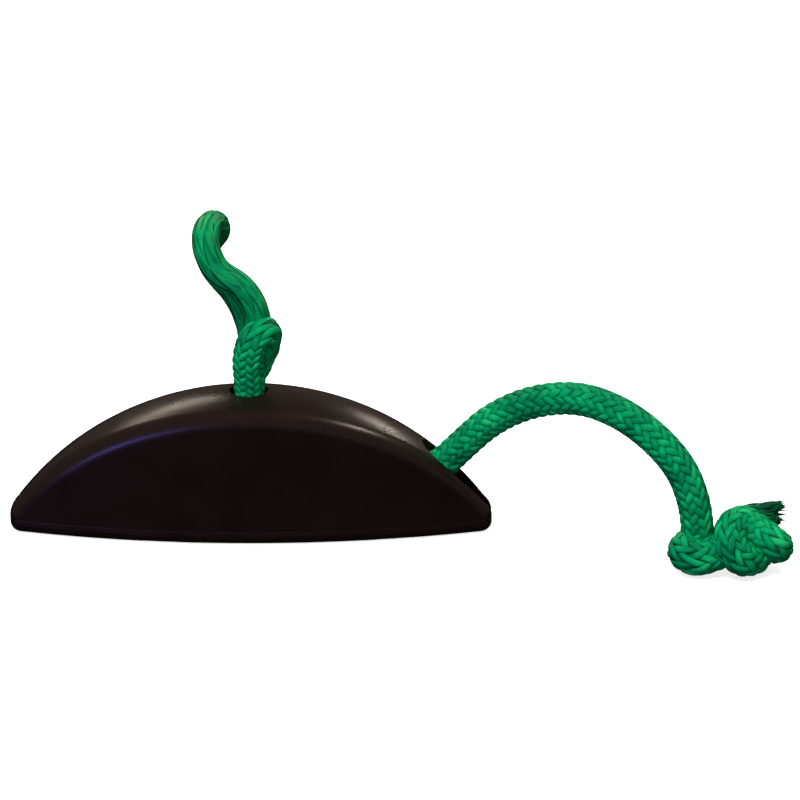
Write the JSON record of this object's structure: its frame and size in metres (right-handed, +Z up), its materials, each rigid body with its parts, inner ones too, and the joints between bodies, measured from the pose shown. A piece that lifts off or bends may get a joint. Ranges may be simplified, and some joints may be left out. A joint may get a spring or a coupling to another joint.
{
  "type": "anchor line lock",
  "caption": "Boat-shaped plastic anchor-line lock with a green braided line: in at the crown, round a sheave, out through a jam slot.",
  "frame": {"origin": "middle of the base's underside, where the fitting stands on the deck", "axes": "+X towards the bow, where the line leaves the jam slot; +Z up, away from the deck; +Y to port"},
  "size_m": [0.2576, 0.1627, 0.105],
  "materials": {
    "housing_plastic": "smooth moulded near-black plastic, softly glossy",
    "base_plastic": "moulded near-black plastic, satin",
    "gasket_rubber": "matt rubber sheet",
    "stainless_steel": "brushed stainless steel",
    "insert_brass": "machined brass",
    "washer_nylon": "natural nylon",
    "sheave_acetal": "black acetal",
    "rope_braid": "green braided polyester line"
  },
  "bodies": {
    "body": {"housing": "housing_plastic", "base_plate": "base_plastic", "deck_gasket": "gasket_rubber", "base_screws": "stainless_steel", "boss_inserts": "insert_brass", "mount_inserts": "insert_brass", "sheave_bracket": "stainless_steel", "bracket_screws": "stainless_steel", "sheave_axle": "stainless_steel", "axle_clip": "stainless_steel", "sheave_washers": "washer_nylon", "jam_cleat": "stainless_steel", "inner_rope": "rope_braid", "tail_rope": "rope_braid", "tail_knot": "rope_braid", "neck_knot": "rope_braid", "line_rope": "rope_braid", "line_coil": "rope_braid", "line_end_knot": "rope_braid"},
    "sheave_wheel": {"sheave": "sheave_acetal", "sheave_bush": "insert_brass"}
  },
  "joints": [
    {"name": "sheave_spin", "type": "hinge", "parent": "body", "child": "sheave_wheel", "pos_m": [0.014, 0, 0.0262], "axis": [0, 1, 0], "continuous": true}
  ]
}
